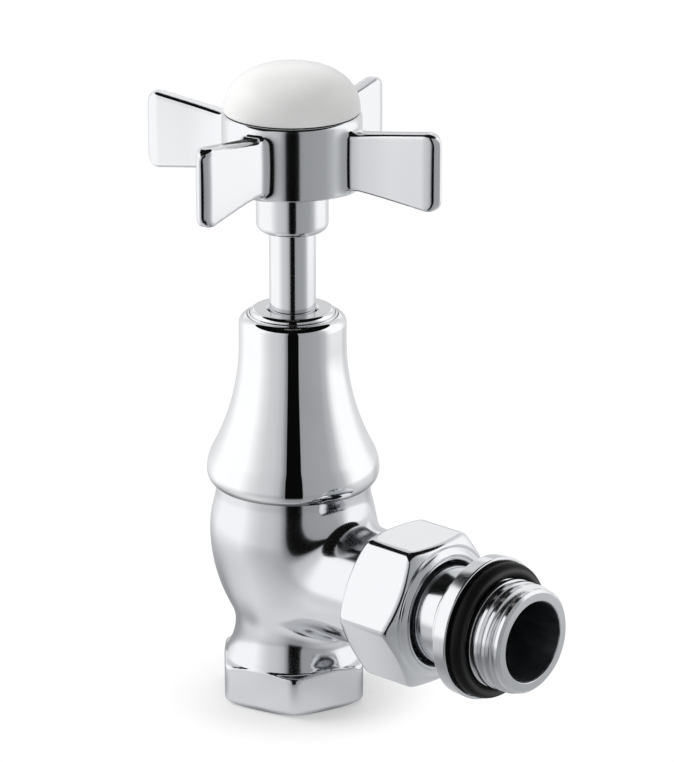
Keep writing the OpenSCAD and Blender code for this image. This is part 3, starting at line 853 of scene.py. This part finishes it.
class VALVE_OT_spindle(bpy.types.Operator):
    """Makes the spindle, which turns with the handle"""
    bl_idname = "angle_valve.spindle"
    bl_label = "Spindle"

    def execute(self, context):
        low, high = box_mm("spindle")
        stem, thread_r, z = 4.45, high[0], low[2]
        profile = eased([(2.45, z + 11), (2.45, z, 0.2), (4.6, z), (5.2, z + 0.6), (5.2, 40), (thread_r, 40.8),
                         (thread_r, 54.2), (5, 55), (stem, 56), (stem, 95.5), (3.9, 95.5), (3.9, high[2]), (0, high[2])])
        profile = [(0, z + 11)] + profile
        dress(turn("spindle_stem", profile, segments=128), "chrome", "handle", "spindle")
        return {"FINISHED"}


class VALVE_OT_handle(bpy.types.Operator):
    """Makes the cross handle: hub, collar and four arms in one casting"""
    bl_idname = "angle_valve.handle"
    bl_label = "Cross handle"

    def execute(self, context):
        size = context.scene.valve_sizes
        hub, hub_z, top = 13.3, 103.4, HANDLE_HIGH[2]
        collar, collar_z = 6.9, HANDLE_LOW[2]
        reach, tip_h, root_h, root_w = 32.4, 15.7, 10.6, 4.8
        blade = size.arm_thickness / MM / 2
        swell_end, nose, tip_corner, crown, edge = hub + 9.0, 3.2, 2.9, 0.12, 0.95
        arm_z = (hub_z + top) / 2 - 0.55
        turned_by = size.arm_turn

        def block(r, z, radius, low, high, ease):
            a, b = r - radius + ease, np.abs(z - (low + high) / 2) - (high - low) / 2 + ease
            return np.minimum(np.maximum(a, b), 0) + np.hypot(np.maximum(a, 0), np.maximum(b, 0)) - ease

        def field(x, y, z):
            r = np.hypot(x, y)
            drum = np.maximum(block(r, z, hub, hub_z, top + 6, 0.5), block(r, z, hub, hub_z - 6, top, 1.4))
            sleeve = block(r, z, collar, collar_z, hub_z + 4, 1.7)
            angle = (np.arctan2(y, x) - turned_by + math.pi / 4) % (math.pi / 2) - math.pi / 4
            u, v, w = r * np.cos(angle), np.abs(r * np.sin(angle)), np.abs(z - arm_z)
            swell = np.clip((swell_end - u) / (swell_end - hub), 0, 1) ** 2
            tip = np.clip((u - reach + nose) / nose, 0, 0.995)
            half_h = root_h / 2 + (tip_h - root_h) / 2 * np.clip((u - hub) / (reach - hub), 0, 1.2)
            half_w = blade * np.sqrt(1 - tip ** 2) + swell * (root_w / 2 - blade) - crown * np.clip(w / half_h, 0, 1) ** 2
            a, b = u - reach + tip_corner, w - half_h + tip_corner
            outline = np.minimum(np.maximum(a, b), 0) + np.hypot(np.maximum(a, 0), np.maximum(b, 0)) - tip_corner
            ease = np.minimum(half_w - 0.05, edge)
            a, b = outline + ease, v - half_w + ease
            arm = np.minimum(np.maximum(a, b), 0) + np.hypot(np.maximum(a, 0), np.maximum(b, 0)) - ease
            arm = np.maximum(arm, 9 - u)
            solid = soft_min(soft_min(drum, sleeve, 1.1), arm, 3.4)
            seat = np.maximum(r - 11.95, top - 1.8 - z)
            cup = np.maximum(r - 6, top - 8 - z)
            bore = r - 4.5
            return soft_max(solid, -np.minimum(np.minimum(seat, cup), bore), 0.2)

        piece = skin("cross_handle", field, (-reach, -reach, collar_z), (reach, reach, top), 0.4)
        dress(piece, "chrome_handle", "handle", "handle")
        piece.visible_glossy = False
        return {"FINISHED"}


class VALVE_OT_dome(bpy.types.Operator):
    """Makes the glazed dome and the dark ring under it"""
    bl_idname = "angle_valve.dome"
    bl_label = "Ceramic dome"

    def execute(self, context):
        low, high = DOME_LOW[2], DOME_HIGH[2]
        radius, top, foot = DOME_HIGH[0], HANDLE_HIGH[2], 11.85
        base, crown = top + 0.1, high - 0.3
        cheek = [(radius * math.cos(a) ** 0.833 if a < math.pi / 2 else 0, base + (crown - base) * math.sin(a) ** 0.909)
                 for a in np.linspace(0, math.pi / 2, 73)]
        profile = ([(0, top + 1.6), (4.5, top + 1.6), (4.5, top - 1), (6.3, top - 1)]
                   + eased([(6.3, low), (foot, low, 0.4), (foot, top - 0.08), (radius - 0.12, top - 0.06), cheek[0]])
                   + cheek[1:-1] + [(0, crown)])
        dress(turn("dome", profile, segments=224), "ceramic", "handle", "ceramic_cap")
        ring_low, ring_high = box_mm("cap_ring")
        lip = radius - 0.17
        ring = [(7.7, ring_low[2]), (lip - 0.15, ring_low[2]), (lip, ring_high[2]), (lip, top - 0.09), (foot + 0.03, top - 0.09),
                (foot + 0.03, ring_high[2]), (7.7, ring_high[2])]
        dress(turn("dome_ring", ring, segments=192, loop=True), "rubber", "handle", "cap_ring")
        return {"FINISHED"}


class VALVE_OT_union(bpy.types.Operator):
    """Makes the hexagonal union nut"""
    bl_idname = "angle_valve.union_nut"
    bl_label = "Union nut"

    def execute(self, context):
        size = context.scene.valve_sizes
        half = size.nut_width / MM / 2
        back, front = NUT_LOW[0], NUT_HIGH[0]
        turned_by = math.pi - size.nut_turn
        sector = np.concatenate([np.linspace(0, 0.36, 14, endpoint=False), np.linspace(0.36, 0.64, 26, endpoint=False),
                                 np.linspace(0.64, 1, 14, endpoint=False)]) * math.pi / 3
        angle = np.concatenate([sector + k * math.pi / 3 for k in range(6)])
        rel = (angle - turned_by) % (math.pi / 3)
        order = np.argsort(angle)
        angle, rel = angle[order], rel[order]
        outline = soft_min(half / np.cos(rel - math.pi / 6), half / np.cos(rel - math.pi / 2), 1.9)
        outline = soft_min(outline, half / np.cos(rel + math.pi / 6), 1.9)
        rows = []
        face = half - 0.35
        slope = math.tan(math.radians(30))

        def outside(x):
            cone = np.minimum(face + (x - back) / slope, face + (front - x) / slope)
            return soft_min(outline, cone, 2.2)

        steps = np.concatenate([np.linspace(0, 2.4, 40), np.linspace(2.8, front - back - 2.8, 6),
                                np.linspace(front - back - 2.4, front - back, 40)])
        for s in steps:
            rows.append((outside(back + s), back + s))
        hole, lip, groove, depth = 9.95, 10.5, 11.1, 3.2
        boss, crest = 12.55, front + 0.85
        inner = eased([(face - 0.3, front), (boss, front, 0.3), (boss - 0.5, front + 0.5), (boss - 1.0, crest, 0.12),
                       (groove + 0.12, crest, 0.08), (groove + 0.1, crest - 0.5), (groove - 0.1, crest - 0.5),
                       (groove - 0.12, crest - 0.1, 0.1), (lip, crest - 0.1, 0.15), (lip, front - depth), (hole, front - depth)], 5)
        inner += eased([(hole, front - depth - 0.1), (hole, 34.9), (11.15, 34.9), (11.15, 31.3), (12.05, 30.9), (12.05, back + 0.4, 0.1),
                       (12.45, back, 0.1), (face - 0.3, back)], 4)
        rows += [(r, x) for r, x in inner]
        place = sideways(size.outlet_height / MM)
        dress(shape_rings("nut", rows, angle, place, loop=True), "chrome", "nut", "union_nut")
        # A dark sheet lines the wall and floor of the recess in the nut's front: painted shade in the recess.
        shade_lining = [(lip - 0.1, crest - 0.6), (lip + 0.1, crest - 0.6), (lip + 0.1, front - depth - 0.1),
                  (hole - 0.2, front - depth - 0.1), (hole - 0.2, front - depth + 0.1), (lip - 0.1, front - depth + 0.1)]
        dress(turn("nut_shade_lining", shade_lining, place, segments=160, loop=True), "chrome", "nut", look="bored")
        return {"FINISHED"}


class VALVE_OT_tailpiece(bpy.types.Operator):
    """Makes the tailpiece with its thread, and the rubber ring on its flange"""
    bl_idname = "angle_valve.tailpiece"
    bl_label = "Tailpiece and seal"

    def execute(self, context):
        size = context.scene.valve_sizes
        place = sideways(size.outlet_height / MM)
        start, end = TAIL_LOW[0], TAIL_HIGH[0]
        crest = size.pipe_thread_radius / MM
        neck, flange, front, bore, collar = 9.6, TAIL_HIGH[1], 51.0, 7.8, 11.1
        back = front - 3.2
        core = crest - 1.15
        outer = (eased([(bore, start), (collar, start, 0.3), (collar, 34.9), (neck, 34.9), (neck, back - 3.4)])
                 + arc((neck + 3.4, back - 3.4), 3.4, 180, 108, 14)
                 + eased([(neck + 3.4 + 3.4 * math.cos(math.radians(108)), back - 3.4 + 3.4 * math.sin(math.radians(108))),
                          (flange - 0.2, back + 0.05, 0.3), (flange, front - 0.05, 0.3), (flange - 0.6, front, 0.08),
                          (flange - 0.7, front - 0.2), (core, front - 0.2), (core, end - 1.35), (crest - 0.45, end - 1.25, 0.1),
                          (crest - 0.45, end - 0.5, 0.1), (crest - 1.0, end, 0.12), (bore + 0.15, end, 0.15),
                          (bore, end - 0.2), (bore, start)], 5)[1:])
        dress(turn("tail", outer[:-1], place, segments=224, loop=True), "chrome", "tail", "tailpiece")
        sleeve = thread("tail_thread", "chrome_thread", {
            "Start": 0.0516, "Length": end * MM - 0.0015 - 0.0516, "Crest": size.pipe_thread_radius, "Depth": 0.00095,
            "Pitch": size.pipe_thread_pitch, "Back": core * MM - 0.0002, "Fade": 0.0005,
            "Rows": 200, "Columns": 225, "Sideways": 1.0, "Height": size.outlet_height})
        dress(sleeve, "chrome_thread", "tail")
        liner = [(bore + 0.05, start + 0.1), (bore - 0.15, start + 0.1), (bore - 0.15, end - 0.35), (bore + 0.05, end - 0.15)]
        dress(turn("tail_bore", liner, place, segments=160, loop=True), "chrome_thread", "tail", look="bored")
        low, high = box_mm("tail_seal")
        section, middle = (high[0] - low[0]) / 2, (high[0] + low[0]) / 2
        centre = high[1] - section
        seal = [(centre + section * math.cos(a), middle + section * math.sin(a))
                for a in np.linspace(0, 2 * math.pi, 48, endpoint=False)]
        dress(turn("tail_ring", seal, place, segments=192, loop=True), "rubber", "tail", "tail_seal", look="rubber_ring")
        return {"FINISHED"}


class VALVE_OT_inner_parts(bpy.types.Operator):
    """Gives the parts inside the valve their finishes"""
    bl_idname = "angle_valve.inner_parts"
    bl_label = "Inner parts"

    def execute(self, context):
        slots = {s["node"]: s["material_slot"] for s in frame["record"]["subparts"]}
        for name, node in frame["nodes"].items():
            if not node.hide_render:
                node.data.materials.clear()
                node.data.materials.append(finish_of(slots[name]))
        return {"FINISHED"}


class VALVE_OT_stage(bpy.types.Operator):
    """Sets up the floor, the studio light and the camera"""
    bl_idname = "angle_valve.stage"
    bl_label = "Studio"

    def execute(self, context):
        studio = context.scene.valve_studio
        place = Vector(studio.camera_place)
        lens = bpy.data.cameras.new("camera")
        lens.lens, lens.sensor_width, lens.clip_end = studio.lens, 36.0, 50.0
        camera = bpy.data.objects.new("camera", lens)
        camera.location = place
        camera.rotation_euler = Vector(studio.camera_line).to_track_quat("-Z", "Y").to_euler()
        context.scene.collection.objects.link(camera)
        context.scene.camera = camera

        mesh = bpy.data.meshes.new("floor")
        mesh.from_pydata([(-9, -9, 0), (9, -9, 0), (9, 9, 0), (-9, 9, 0)], [], [(0, 1, 2, 3)])
        floor = bpy.data.objects.new("floor", mesh)
        context.scene.collection.objects.link(floor)
        mesh.materials.append(self.floor_finish(studio))

        for name, power, spot, width in (("key", studio.key_power, (-1.05, -0.5, 0.9), 0.9),
                                         ("fill", studio.fill_power, (-0.2, 0.6, 1.3), 0.8)):
            lamp = bpy.data.lights.new(name, "AREA")
            lamp.energy, lamp.size = power, width
            lamp_object = bpy.data.objects.new(name, lamp)
            lamp_object.location = spot
            lamp_object.rotation_euler = (Vector((0, 0, 0.05)) - Vector(spot)).to_track_quat("-Z", "Y").to_euler()
            lamp_object.visible_glossy = False
            lamp_object.visible_camera = False
            context.scene.collection.objects.link(lamp_object)

        self.room(context.scene, studio)
        context.scene.view_settings.view_transform = "Standard"
        return {"FINISHED"}

    def floor_finish(self, studio):
        """White floor with the soft shadow under the valve; for polished metal it glows with painted tones instead: a
        lit left, a dim right, and painted shade near the valve.
        """
        material = bpy.data.materials.new("floor")
        material.use_nodes = True
        material.node_tree.nodes.clear()
        n = Nodes(material.node_tree)
        rays = n.rays()
        place = n.turned(n.add("ShaderNodeNewGeometry", output="Position"), studio)
        reach = (place[0] * place[0] + place[1] * place[1]) ** 0.5
        azimuth = place[1].math("ARCTAN2", place[0]) * (180 / math.pi)
        gap = n.ramp(azimuth, studio.gap_left - 0.4, studio.gap_left + 0.4) * n.ramp(
            azimuth, studio.gap_right - 0.4, studio.gap_right + 0.4, 1.0, 0.0)
        gap = gap * n.ramp(reach, 0.05, 0.085)
        foot = n.ramp(reach, 0.018, 0.036, 1.0, 0.0)
        near = n.around(azimuth, FLOOR_TONES) * (1.0 - foot) + n.around(azimuth, FOOT_TONES) * foot
        far = n.ramp(reach, 0.03, 0.12)
        # Painted shade on the floor as polished metal sees it: shade darkens the floor towards the valve.
        fall_off = n.ramp(azimuth, -12, 12, 0.42, 0.28)
        shade = (reach * (1 / 0.17)).clamped() ** fall_off
        # beyond is painted shade on the floor to the right, near the tailpiece.
        beyond = n.ramp(azimuth, 60, 85) * n.ramp(azimuth, 130, 160, 1.0, 0.0) * n.ramp(reach, 0.15, 0.35, 0.33, 0.0)
        tones = n.around(azimuth, WALL_TONES) * shade * (1.0 - beyond) * far + near * (1.0 - far)
        # Painted contact shadow: the floor is darker still right at the foot.
        tones = tones * (1.0 - gap) * n.ramp(reach, 0.0125, 0.0165, 0.25, 1.0) + 0.003 * gap
        # The floor glows with these painted tones for glossy rays only.
        mirrored = n.add("ShaderNodeEmission", {}, {"Color": n.cool(tones), "Strength": tones})
        matt = n.add("ShaderNodeBsdfDiffuse", {}, {"Color": (0.95, 0.95, 0.95, 1)})
        glow = n.add("ShaderNodeEmission", {}, {"Color": (1, 1, 1, 1), "Strength": 1.02})
        share = n.ramp(reach, 0.013, 0.031, 0.35, 1.0)
        shown = n.add("ShaderNodeMixShader", {}, {0: share, 1: matt, 2: glow})
        seen = n.add("ShaderNodeMixShader", {}, {0: rays["Is Camera Ray"], 1: matt, 2: shown})
        both = n.add("ShaderNodeMixShader", {}, {0: rays["Is Glossy Ray"], 1: seen, 2: mirrored})
        n.add("ShaderNodeOutputMaterial", {}, {"Surface": both})
        return material

    def room(self, scene, studio):
        """White room; polished metal sees its white panels, with a dark gap between them behind the camera."""
        world = bpy.data.worlds.new("studio")
        scene.world = world
        world.use_nodes = True
        world.node_tree.nodes.clear()
        n = Nodes(world.node_tree)
        rays = n.rays()
        x, y, z = n.turned(n.add("ShaderNodeTexCoord", output="Generated"), studio)
        azimuth = y.math("ARCTAN2", x) * (180 / math.pi)
        walls = n.around(azimuth, WALL_TONES)
        behind = n.ramp(z, 0.2, 0.28) * n.ramp(z, 0.4, 0.5, 1.0, 0.0) * n.ramp(x, -0.9, -0.8, 1.0, 0.0)
        walls = walls * (1.0 - behind) + behind
        gap = n.ramp(azimuth, studio.gap_left - 0.4, studio.gap_left + 0.4) * n.ramp(
            azimuth, studio.gap_right - 0.4, studio.gap_right + 0.4, 1.0, 0.0)
        gap = gap.math("MAXIMUM", n.ramp(z, studio.ceiling - 0.008, studio.ceiling + 0.008))
        mirrored = walls * (1.0 - gap) + 0.003 * gap
        camera = (rays["Is Camera Ray"] + rays["Is Transmission Ray"]).clamped()
        glossy = rays["Is Glossy Ray"]
        strength = camera + (1.0 - camera) * (glossy * mirrored + (1.0 - glossy) * studio.room_level)
        ground = n.add("ShaderNodeBackground", {}, {"Color": n.cool(strength + (1.0 - glossy)), "Strength": strength})
        n.add("ShaderNodeOutputWorld", {}, {"Surface": ground})


class VALVE_PT_panel(bpy.types.Panel):
    """Lists the valve's sizes, finishes and makers"""
    bl_idname = "VALVE_PT_panel"
    bl_label = "Angle valve"
    bl_space_type = "VIEW_3D"
    bl_region_type = "UI"
    bl_category = "Angle valve"

    def draw(self, context):
        for group in (context.scene.valve_sizes, context.scene.valve_finish, context.scene.valve_studio):
            column = self.layout.column()
            for key in group.__annotations__:
                column.prop(group, key)
        for operator in MAKERS:
            self.layout.operator(operator.bl_idname)


SETTINGS = (ValveSizes, ValveFinish, StudioSettings)
MAKERS = (VALVE_OT_body, VALVE_OT_headwork, VALVE_OT_spindle, VALVE_OT_handle, VALVE_OT_dome,
          VALVE_OT_union, VALVE_OT_tailpiece, VALVE_OT_inner_parts, VALVE_OT_stage)


def register():
    for group in SETTINGS + MAKERS + (VALVE_PT_panel,):
        bpy.utils.register_class(group)
    bpy.types.Scene.valve_sizes = PointerProperty(type=ValveSizes)
    bpy.types.Scene.valve_finish = PointerProperty(type=ValveFinish)
    bpy.types.Scene.valve_studio = PointerProperty(type=StudioSettings)


def unregister():
    del bpy.types.Scene.valve_sizes, bpy.types.Scene.valve_finish, bpy.types.Scene.valve_studio
    for group in reversed(SETTINGS + MAKERS + (VALVE_PT_panel,)):
        bpy.utils.unregister_class(group)


def main():
    register()
    bpy.ops.angle_valve.body()
    bpy.ops.angle_valve.headwork()
    bpy.ops.angle_valve.spindle()
    bpy.ops.angle_valve.handle()
    bpy.ops.angle_valve.dome()
    bpy.ops.angle_valve.union_nut()
    bpy.ops.angle_valve.tailpiece()
    bpy.ops.angle_valve.inner_parts()
    bpy.ops.angle_valve.stage()


if __name__ == "__main__":
    main()
